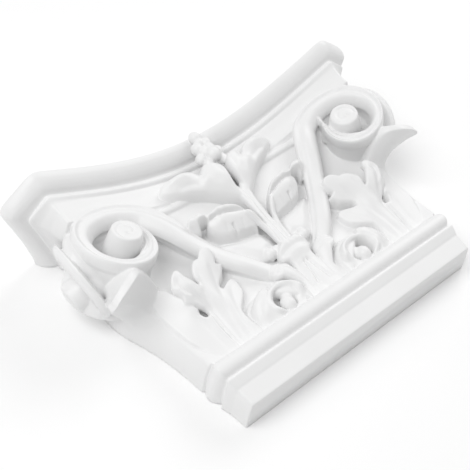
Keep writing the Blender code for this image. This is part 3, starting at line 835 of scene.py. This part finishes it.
SMALL_LOBE_PEGS = (
    (17, 34, 24), (17, 46, 25), (21, 53, 25.8), (28, 57, 26.6), (34, 57.4, 26.8), (42, 54, 26.6),
    (30, 46, 28), (24, 40, 27), (26, 51, 27.8))


def small_leaf():
    """The little leaf between the middle leaf and the stalk's foot, in two lobes."""
    return [leaf(SMALL_TIP, SMALL_TIP_PEGS, SMALL_TIP_LINES, thick=8.0, rim=2.2, dome=0.6),
            leaf(SMALL_LOBE, SMALL_LOBE_PEGS, thick=8.0, rim=2.0, dome=0.6)]


GROUND = (
    (6, 31.5), (7, 50), (12, 60), (20, 63), (30, 61.6), (40, 61), (50, 59), (58, 55), (64, 47),
    (70, 38), (71, 31.5))
GROUND_PEGS = (
    (10, 33, 22), (12, 55, 21.5), (22, 61, 21.4), (34, 60, 21.6), (50, 57, 21.4), (60, 50, 22),
    (68, 35, 22), (34, 45, 18), (50, 46, 23), (40, 34, 20), (28, 38, 20))


def undergrowth():
    """The low swelling ground from which the lowest leaves rise."""
    return leaf(GROUND, GROUND_PEGS, thick=8.0, rim=3.0)


INNER_STEM = (
    (1.5, 75, 25.4), (1.5, 84, 27), (1.6, 98, 29), (1.8, 110, 31.6), (1.9, 119, 33.6),
    (2.8, 127, 35.4), (5, 134, 38))
OUTER_STEM = (
    (4.2, 75, 24), (4.3, 84, 25.6), (4.8, 93, 27.6), (6.6, 101, 30.6), (9.2, 106.6, 35),
    (11.6, 110.6, 38.6))


def stems():
    """Two strands on each side of the centre line, from the collar up to the spread leaf and the
    cups."""
    return [tendril(INNER_STEM, (1.5, 1.5, 1.6, 1.9, 2.4, 3.2, 4.0),
                    (2.6, 2.6, 2.8, 3.2, 3.4, 3.6, 3.6), steps=60),
            tendril(OUTER_STEM, (1.5, 1.5, 1.6, 1.8, 1.8, 1.2),
                    (2.6, 2.6, 2.8, 3.0, 3.0, 2.2), steps=60)]


SHEATH = (
    (12, 79), (17, 76.5), (23, 77.5), (29, 82.5), (35, 90), (39.5, 98), (42.5, 105.5), (36, 105.6),
    (29, 103.6), (21, 102.2), (12, 100.6), (7, 98), (4.6, 93), (4.2, 87), (6, 81.5))
CUP_WALL = (
    (8.5, 98), (11.5, 98.8), (14.2, 99.4), (17.4, 99.8), (20.8, 100.4), (24.2, 101), (27.6, 101.6),
    (31.2, 102.8), (34.4, 104.6), (37.4, 107.4), (40, 111.4), (41, 115.6), (39, 118.6), (34, 118.4),
    (29, 117), (22, 115.6), (16, 113.6), (11, 111.2), (8.2, 106.5))
CUP_WALL_PEGS = (
    (9, 98.5, 29.5), (16, 100, 31), (24, 101.5, 32), (31, 103.2, 32.6), (37, 108, 32.6),
    (10, 104, 33.6), (17, 105.5, 35.4), (24, 106.5, 36.2), (31, 108.5, 36.8), (36, 112, 36.4),
    (40, 116, 36), (12, 110, 38.2), (22, 111, 39.6), (32, 113, 39.8), (20, 114.5, 40),
    (34, 117.4, 39))
CUP_WALL_LINES = (
    (((25, 100.5), (25.2, 104), (25.6, 108)), 2.8, 0.8, 0.05),
    (((18.5, 99.8), (18.2, 104), (17.5, 108)), 0.8, 0.7, 0.1),
    (((31.5, 103), (30.6, 107), (29.6, 110)), 0.8, 0.7, 0.1))
CUP_BACK = (
    (10.4, 110), (15, 112.6), (20, 114.6), (26, 115.8), (32, 116.6), (37.6, 117.4), (38.2, 119.6),
    (34, 121.4), (28, 122), (22, 121.2), (16, 118.2), (11.6, 114))
CUP_BACK_PEGS = (
    (12, 112, 39.8), (18, 117, 42.4), (24, 118.8, 43.8), (30, 119.6, 44.4), (36.8, 119.2, 43.8),
    (20, 115, 40), (26, 116.5, 41.5), (33, 117, 42), (24, 121.5, 42.5), (34, 121, 43))
CUP_FOLD = (
    (37.5, 119.6), (41, 123.6), (46, 125.4), (51, 124.8), (53, 121), (50.6, 117.8), (47.6, 114.6),
    (45.4, 114.8), (45, 118.2), (42, 119))
CUP_FOLD_PEGS = (
    (38, 120.5, 42.5), (42, 123, 43.4), (46, 124.6, 42), (52, 123.5, 42), (46.4, 120, 43.8),
    (49, 118.5, 38), (46.5, 115, 34.5))
KNOBS = (((15.2, 79.6, 22.4), (4.6, 5.0, 5.2)), ((8.6, 79.4, 22.0), (3.6, 4.4, 4.6)))


def leaf_cup():
    """The calyx between stem and stalk: a bulging sheath on two knobs, a sloped wall with a slit
    that stands behind its mouth, and two folded leaves behind that. Sheath: the bell's depth
    + 3 + 4.2·rise(0, 9, distance in), less 1.6 at its mouth."""
    def sheath_top(x, y, d):
        mouth = rise(96, 104, y - 0.1 * (x - 20))
        return bell_depth(x, y) + 3.0 + 4.2 * rise(0, 9, d) - 1.6 * mouth
    return [slab(SHEATH, sheath_top, 9.0, rim=2.4),
            leaf(CUP_WALL, CUP_WALL_PEGS, CUP_WALL_LINES, thick=19.0, rim=2.2),
            leaf(CUP_BACK, CUP_BACK_PEGS, thick=20.0, rim=2.2),
            leaf(CUP_FOLD, CUP_FOLD_PEGS, thick=16.0, rim=1.8),
            *(globe(centre, radii) for centre, radii in KNOBS)]


FLEURON = (
    (0.9, 117), (5, 122), (10.5, 126.8), (15.5, 131.4), (20.5, 135.6), (26, 139.2), (32, 142.4),
    (38, 145.4), (43.6, 148.8), (48.6, 152.2), (50.8, 155.2), (49.8, 158.6), (46.4, 160.8),
    (41, 160.6), (35.4, 159.6), (30, 158.8), (25, 157.4), (21.8, 155.6), (19.6, 152.8), (18, 152.8),
    (16.4, 154.8), (13, 156.2), (9, 155), (4.8, 152.4), (2.2, 148.4), (1.6, 143.8), (1.9, 139),
    (2.2, 134), (1.9, 128), (0.7, 121))
FLEURON_PEGS = (
    (1, 119, 36), (2, 128, 41), (2.5, 136, 45.4), (2.6, 142, 48), (5, 150, 48.8), (12.5, 154, 48.2),
    (18.8, 149, 44.6), (28, 155.5, 47.4), (36.5, 157.2, 46.6), (44, 158.6, 43), (50, 156, 38.6),
    (44, 151.5, 40.5), (36, 149, 42.6), (28, 143, 41.2), (20, 138, 40.4), (11, 130, 39),
    (31, 152, 46.2), (10, 144, 48), (18, 146, 46.6), (9, 136, 44.8))
FLEURON_LINES = (
    (((41, 150.5), (34, 149), (27, 146.6), (20, 142.5)), 0.8, 1.8, 0.25),
    (((19, 152), (16.5, 147), (12.5, 141), (8, 134)), 0.7, 2.2, 0.3),
    (((48, 155.5), (40, 155.6), (32, 154.6), (25, 151.8)), -0.7, 1.6, 0.25),
    (((7.5, 152), (6.5, 146), (5.4, 139)), 0.6, 1.4, 0.3))


def fleuron_half():
    """Half of the spread leaf under the abacus: a long side lobe and an upright lobe, swelling from
    the neck."""
    return leaf(FLEURON, FLEURON_PEGS, FLEURON_LINES, thick=12.0, rim=2.6, dome=0.4)


# each berry's middle and its radius
BERRIES = (
    (-0.4, 181, 47.6, 4.6), (-5, 172.4, 45.2, 4.6), (-8, 163.6, 43.2, 4.2), (0.8, 161.2, 46.2, 5.6),
    (3.6, 173.4, 46.8, 3.9), (6.6, 163.4, 44.2, 4.2), (-2.6, 167, 45.2, 4.4), (3, 168, 45.6, 4),
    (-0.6, 176, 46.6, 3.8), (-5.6, 157.6, 42.6, 4), (6, 157, 42, 4))


def berries():
    """A little bunch of berries laid up over the middle of the abacus."""
    return [globe((x, y, z), (r, r * 1.12, r)) for x, y, z, r in BERRIES]


# ---- fusing the casting

def fused(parts, voxel, soften, most):
    """Every part joined into one skin: remeshed on a grid, eased, thinned to fewer than most
    triangles."""
    whole = bpy.data.objects.new("casting", bpy.data.meshes.new("casting"))
    bpy.context.scene.collection.objects.link(whole)
    shell = bmesh.new()
    for part in parts:
        shell.from_mesh(part.data)
    shell.to_mesh(whole.data)
    shell.free()
    for part in parts:
        data = part.data
        bpy.data.objects.remove(part)
        bpy.data.meshes.remove(data)
    grid = whole.modifiers.new("fuse", "REMESH")
    grid.mode = "VOXEL"
    grid.voxel_size = voxel
    grid.use_smooth_shade = True
    ease = whole.modifiers.new("ease", "SMOOTH")
    ease.factor = 0.5
    ease.iterations = soften
    flatten(whole)
    thin = whole.modifiers.new("thin", "DECIMATE")
    thin.ratio = min(1.0, most / max(len(whole.data.polygons) * 2, 1))
    flatten(whole)
    return whole


def flatten(piece):
    """The modifiers' result becomes the piece's own mesh."""
    seen = piece.evaluated_get(bpy.context.evaluated_depsgraph_get())
    data = bpy.data.meshes.new_from_object(seen)
    old = piece.data
    piece.modifiers.clear()
    piece.data = data
    bpy.data.meshes.remove(old)


def cut_at_wall(piece):
    """All behind the wall plane is cut off and the back closed flat."""
    shell = bmesh.new()
    shell.from_mesh(piece.data)
    everything = shell.verts[:] + shell.edges[:] + shell.faces[:]
    cut = bmesh.ops.bisect_plane(shell, geom=everything, plane_co=(0, 0, 0), plane_no=(0, 0, 1),
                                 clear_inner=True, dist=1e-6)
    rim = [e for e in cut["geom_cut"] if isinstance(e, bmesh.types.BMEdge)]
    filled = bmesh.ops.triangle_fill(shell, edges=rim, use_beauty=True, use_dissolve=False,
                                     normal=(0, 0, -1))
    for face in (f for f in filled["geom"] if isinstance(f, bmesh.types.BMFace)):
        face.smooth = False
    bmesh.ops.triangulate(shell, faces=shell.faces[:])
    bmesh.ops.recalc_face_normals(shell, faces=shell.faces[:])
    shell.to_mesh(piece.data)
    shell.free()


def keep_biggest(piece):
    """Loose scraps are dropped. Every vertex takes the lowest number among its neighbours, again
    and again, until each skin carries one number; only the skin with the most vertices stays."""
    data = piece.data
    ends = np.empty(len(data.edges) * 2, np.int32)
    data.edges.foreach_get("vertices", ends)
    first, second = ends.reshape(-1, 2).T
    label, before = np.arange(len(data.vertices)), None
    while before is None or (label != before).any():
        before = label
        low = np.minimum(label[first], label[second])
        label = label.copy()
        np.minimum.at(label, first, low)
        np.minimum.at(label, second, low)
        label = label[label]
    loose = np.flatnonzero(label != np.bincount(label).argmax())
    shell = bmesh.new()
    shell.from_mesh(data)
    shell.verts.ensure_lookup_table()
    bmesh.ops.delete(shell, geom=[shell.verts[i] for i in loose], context="VERTS")
    shell.to_mesh(data)
    shell.free()


def fit_box(piece):
    """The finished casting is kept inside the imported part's box: the last fraction of a millimetre
    is clipped."""
    data = piece.data
    points = np.empty(len(data.vertices) * 3, np.float32)
    data.vertices.foreach_get("co", points)
    points = np.clip(points.reshape(-1, 3), np.array(LOW, np.float32), np.array(HIGH, np.float32))
    data.vertices.foreach_set("co", points.ravel())
    data.update()


# ---- materials

def node(tree, kind, **settings):
    """One shader node with its own settings."""
    made = tree.nodes.new(kind)
    for key, value in settings.items():
        setattr(made, key, value)
    return made


def fill(made, **values):
    """Constants on a node's own inputs, underscores in a name standing for spaces."""
    for key, value in values.items():
        made.inputs[key.replace("_", " ")].default_value = value


def grain_group():
    """Shared grain: a fine mask and a broad mask, both 0 to 1, from a position and a scale."""
    if "Grain" in bpy.data.node_groups:
        return bpy.data.node_groups["Grain"]
    tree = bpy.data.node_groups.new("Grain", "ShaderNodeTree")
    tree.interface.new_socket("Position", in_out="INPUT", socket_type="NodeSocketVector")
    scale = tree.interface.new_socket("Scale", in_out="INPUT", socket_type="NodeSocketFloat")
    scale.default_value = 1.0
    tree.interface.new_socket("Fine", in_out="OUTPUT", socket_type="NodeSocketFloat")
    tree.interface.new_socket("Broad", in_out="OUTPUT", socket_type="NodeSocketFloat")
    start, end = node(tree, "NodeGroupInput"), node(tree, "NodeGroupOutput")
    sized = node(tree, "ShaderNodeVectorMath", operation="SCALE")
    fine, broad = node(tree, "ShaderNodeTexNoise"), node(tree, "ShaderNodeTexNoise")
    fill(fine, Scale=900.0, Detail=3.0, Roughness=0.6)
    fill(broad, Scale=34.0, Detail=4.0, Roughness=0.55)
    link = tree.links.new
    link(start.outputs["Position"], sized.inputs[0])
    link(start.outputs["Scale"], sized.inputs["Scale"])
    for noise, name in ((fine, "Fine"), (broad, "Broad")):
        link(sized.outputs[0], noise.inputs["Vector"])
        link(noise.outputs["Fac"], end.inputs[name])
    return tree


def grained(name, pale, deep, rough, spread, bump, scale):
    """A matt finish: two close tones mixed by the broad grain, roughness rough ± spread, a fine
    bump. Returns the material and its shader."""
    material = bpy.data.materials.new(name)
    material.use_nodes = True
    tree = material.node_tree
    tree.nodes.clear()
    out, shader = node(tree, "ShaderNodeOutputMaterial"), node(tree, "ShaderNodeBsdfPrincipled")
    place, grain = node(tree, "ShaderNodeTexCoord"), node(tree, "ShaderNodeGroup")
    grain.node_tree = grain_group()
    fill(grain, Scale=scale)
    tone = node(tree, "ShaderNodeMix", data_type="RGBA")
    tone.inputs[6].default_value = (*deep, 1.0)
    tone.inputs[7].default_value = (*pale, 1.0)
    sheen = node(tree, "ShaderNodeMapRange")
    fill(sheen, To_Min=rough - spread, To_Max=rough + spread)
    dents = node(tree, "ShaderNodeBump")
    fill(dents, Strength=bump, Distance=0.0004)
    link = tree.links.new
    link(place.outputs["Object"], grain.inputs["Position"])
    link(grain.outputs["Broad"], tone.inputs[0])
    link(tone.outputs[2], shader.inputs["Base Color"])
    link(grain.outputs["Broad"], sheen.inputs["Value"])
    link(sheen.outputs["Result"], shader.inputs["Roughness"])
    link(grain.outputs["Fine"], dents.inputs["Height"])
    link(dents.outputs["Normal"], shader.inputs["Normal"])
    link(shader.outputs["BSDF"], out.inputs["Surface"])
    return material, shader


# ---- properties

def tone_of(name, description, level):
    """A near white that a user can change."""
    return bpy.props.FloatVectorProperty(name=name, description=description, subtype="COLOR",
                                         size=3, default=(level,) * 3, min=0.0, max=1.0)


class CapitalSizes(bpy.types.PropertyGroup):
    """Fineness of the fused casting."""

    voxel: bpy.props.FloatProperty(
        name="Grid", description="Cell of the grid the parts are fused on", default=0.00052,
        min=0.0003, max=0.004, precision=5, subtype="DISTANCE", unit="LENGTH")
    soften: bpy.props.IntProperty(
        name="Soften", description="Rounds of smoothing after the parts are fused", default=2,
        min=0, max=20)
    most: bpy.props.IntProperty(
        name="Most triangles", description="Triangles left after thinning", default=194000,
        min=2000, max=199000)


class PlasterLook(bpy.types.PropertyGroup):
    """The white satin finish."""

    pale: tone_of("Pale tone", "Lighter of the two close whites", 0.86)
    deep: tone_of("Deep tone", "Darker of the two close whites", 0.82)
    rough: bpy.props.FloatProperty(
        name="Roughness", description="Middle roughness of the satin coat", default=0.4,
        min=0.0, max=1.0, subtype="FACTOR")


class StageLook(bpy.types.PropertyGroup):
    """Floor, light and camera."""

    floor: tone_of("Floor", "Tone of the pale floor", 0.96)
    key: bpy.props.FloatProperty(
        name="Key light", description="Strength of the soft light from the left", default=13.0,
        min=0.0, subtype="POWER", unit="POWER")
    fill: bpy.props.FloatProperty(
        name="Sky", description="Brightness of the even surroundings", default=0.5, min=0.0)
    lens: bpy.props.FloatProperty(
        name="Lens", description="Focal length of the camera", default=59.15, min=10.0,
        max=300.0, subtype="DISTANCE_CAMERA")


# ---- operators

class CAPITAL_OT_body(bpy.types.Operator):
    """Make the base, the bell and the abacus."""

    bl_idname = "capital.body"
    bl_label = "Base, bell and abacus"

    def execute(self, context):
        keep_part("body", [body_shape()])
        return {"FINISHED"}


class CAPITAL_OT_volutes(bpy.types.Operator):
    """Make the stalks that wind into the front volutes, and the volutes on the sides."""

    bl_idname = "capital.volutes"
    bl_label = "Stalks and volutes"

    def execute(self, context):
        keep_part("front volutes", both(front_volute()))
        keep_part("side volutes", both(side_volute()))
        return {"FINISHED"}


class CAPITAL_OT_corner_leaves(bpy.types.Operator):
    """Make the beaks on the corners under the volutes."""

    bl_idname = "capital.corner_leaves"
    bl_label = "Corner leaves"

    def execute(self, context):
        keep_part("corner leaves", both([corner_leaf()]))
        return {"FINISHED"}


class CAPITAL_OT_bell_leaves(bpy.types.Operator):
    """Make the tall leaves, the low curls and the little leaves on the bell."""

    bl_idname = "capital.bell_leaves"
    bl_label = "Leaves on the bell"

    def execute(self, context):
        keep_part("tall leaves", both([tall_leaf(), corner_plate(), undergrowth()]))
        keep_part("low curls", both(low_curl()))
        keep_part("small leaves", both(small_leaf()))
        return {"FINISHED"}


class CAPITAL_OT_middle(bpy.types.Operator):
    """Make the middle leaf, its stems and the leaf cups."""

    bl_idname = "capital.middle"
    bl_label = "Middle, stems and cups"

    def execute(self, context):
        keep_part("middle leaf", middle_leaf())
        keep_part("stems", both(stems()))
        keep_part("leaf cups", both(leaf_cup()))
        return {"FINISHED"}


class CAPITAL_OT_fleuron(bpy.types.Operator):
    """Make the spread leaf under the abacus and the berries over it."""

    bl_idname = "capital.fleuron"
    bl_label = "Spread leaf and berries"

    def execute(self, context):
        keep_part("spread leaf", both([fleuron_half()]))
        keep_part("berries", berries())
        return {"FINISHED"}


class CAPITAL_OT_cast(bpy.types.Operator):
    """Fuse every part into one casting, cut it flat at the wall and paint it."""

    bl_idname = "capital.cast"
    bl_label = "Cast in one piece"

    def execute(self, context):
        sizes, look = context.scene.capital_sizes, context.scene.capital_plaster
        parts = [o for o in context.scene.objects if o.get(PART_TAG)]
        if not parts:
            raise RuntimeError("there are no parts to cast")
        piece = fused(parts, sizes.voxel * (1.0), sizes.soften,
                      sizes.most * (1))
        keep_biggest(piece)
        cut_at_wall(piece)
        fit_box(piece)
        if len(piece.data.polygons) >= TRIANGLE_LIMIT:
            raise RuntimeError("the casting has too many triangles")
        piece.name = piece.data.name = "capital"
        plaster, shader = grained("white satin plaster", tuple(look.pale), tuple(look.deep),
                                  rough=look.rough, spread=0.06, bump=0.12, scale=1.0)
        fill(shader, Specular_IOR_Level=0.45)
        piece.data.materials.clear()
        piece.data.materials.append(plaster)
        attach(piece, "root")
        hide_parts(NODE)
        return {"FINISHED"}


FLOOR_REACH = 6.0        # metres from the middle of the floor to its edge
FLOOR_LEVEL = -0.0002    # just under the casting's back
# name, degrees round from the base's side, degrees up, share of the key light's strength
LAMPS = (("key", 260, 60, 1.0), ("right fill", 106, 36, 0.62))
LAMP_WIDE, LAMP_AWAY = 1.2, 1.6
CAMERA_PLACE = (-0.27335, -0.24305, 0.41332)
# the camera's right, up and back
CAMERA_AXES = ((0.76047, -0.64620, 0.06416), (0.44459, 0.59012, 0.67387),
               (-0.47331, -0.48393, 0.73606))
CAMERA_SHIFT = (-0.002, 0.0008)


class CAPITAL_OT_stage(bpy.types.Operator):
    """Lay the floor under the casting and set the light and the camera."""

    bl_idname = "capital.stage"
    bl_label = "Stage"

    def execute(self, context):
        look = context.scene.capital_stage
        floor_mesh = bpy.data.meshes.new("floor")
        corners = [(x * FLOOR_REACH, y * FLOOR_REACH, FLOOR_LEVEL)
                   for x, y in ((-1, -1), (1, -1), (1, 1), (-1, 1))]
        floor_mesh.from_pydata(corners, [], [(0, 1, 2, 3)])
        floor = bpy.data.objects.new("floor", floor_mesh)
        context.scene.collection.objects.link(floor)
        paper, _ = grained("pale floor", tuple(look.floor), tuple(0.99 * c for c in look.floor),
                           rough=0.85, spread=0.05, bump=0.02, scale=0.4)
        floor_mesh.materials.append(paper)

        world = bpy.data.worlds.new("surroundings")
        world.use_nodes = True
        sky = world.node_tree.nodes["Background"]
        fill(sky, Color=(1.0, 1.0, 1.0, 1.0), Strength=look.fill)
        context.scene.world = world

        for name, turn, height, share in LAMPS:
            lamp = bpy.data.lights.new(name, "AREA")
            lamp.shape, lamp.size, lamp.energy = "DISK", LAMP_WIDE, look.key * share
            light = bpy.data.objects.new(name, lamp)
            turn, height = math.radians(turn), math.radians(height)
            way = Vector((math.sin(turn) * math.cos(height), -math.cos(turn) * math.cos(height),
                          math.sin(height)))
            light.location = way * LAMP_AWAY
            light.rotation_euler = way.to_track_quat("Z", "Y").to_euler()
            context.scene.collection.objects.link(light)

        lens = bpy.data.cameras.new("camera")
        lens.sensor_width, lens.lens = 36.0, look.lens
        lens.shift_x, lens.shift_y = CAMERA_SHIFT
        camera = bpy.data.objects.new("camera", lens)
        turn = Matrix(CAMERA_AXES).transposed().to_4x4()
        camera.matrix_world = Matrix.Translation(CAMERA_PLACE) @ turn
        context.scene.collection.objects.link(camera)
        context.scene.camera = camera
        context.scene.view_settings.view_transform = "Standard"
        return {"FINISHED"}


ORDER = (CAPITAL_OT_body, CAPITAL_OT_volutes, CAPITAL_OT_corner_leaves, CAPITAL_OT_bell_leaves,
         CAPITAL_OT_middle, CAPITAL_OT_fleuron, CAPITAL_OT_cast, CAPITAL_OT_stage)


class CAPITAL_PT_panel(bpy.types.Panel):
    """Every step of the capital, in order."""

    bl_idname = "CAPITAL_PT_panel"
    bl_label = "Pilaster capital"
    bl_space_type = "VIEW_3D"
    bl_region_type = "UI"
    bl_category = "Capital"

    def draw(self, context):
        for name, _ in GROUPS:
            group = getattr(context.scene, name)
            box = self.layout.box()
            for key in group.__annotations__:
                box.prop(group, key)
        for step in ORDER:
            self.layout.operator(step.bl_idname)


GROUPS = (("capital_sizes", CapitalSizes), ("capital_plaster", PlasterLook),
          ("capital_stage", StageLook))


def register():
    for name, group in GROUPS:
        bpy.utils.register_class(group)
        setattr(bpy.types.Scene, name, bpy.props.PointerProperty(type=group))
    for item in (*ORDER, CAPITAL_PT_panel):
        bpy.utils.register_class(item)


def unregister():
    for item in (CAPITAL_PT_panel, *reversed(ORDER)):
        bpy.utils.unregister_class(item)
    for name, group in reversed(GROUPS):
        delattr(bpy.types.Scene, name)
        bpy.utils.unregister_class(group)


def main():
    """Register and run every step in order."""
    register()
    for step in ORDER:
        group, name = step.bl_idname.split(".")
        getattr(getattr(bpy.ops, group), name)()


if __name__ == "__main__":
    main()
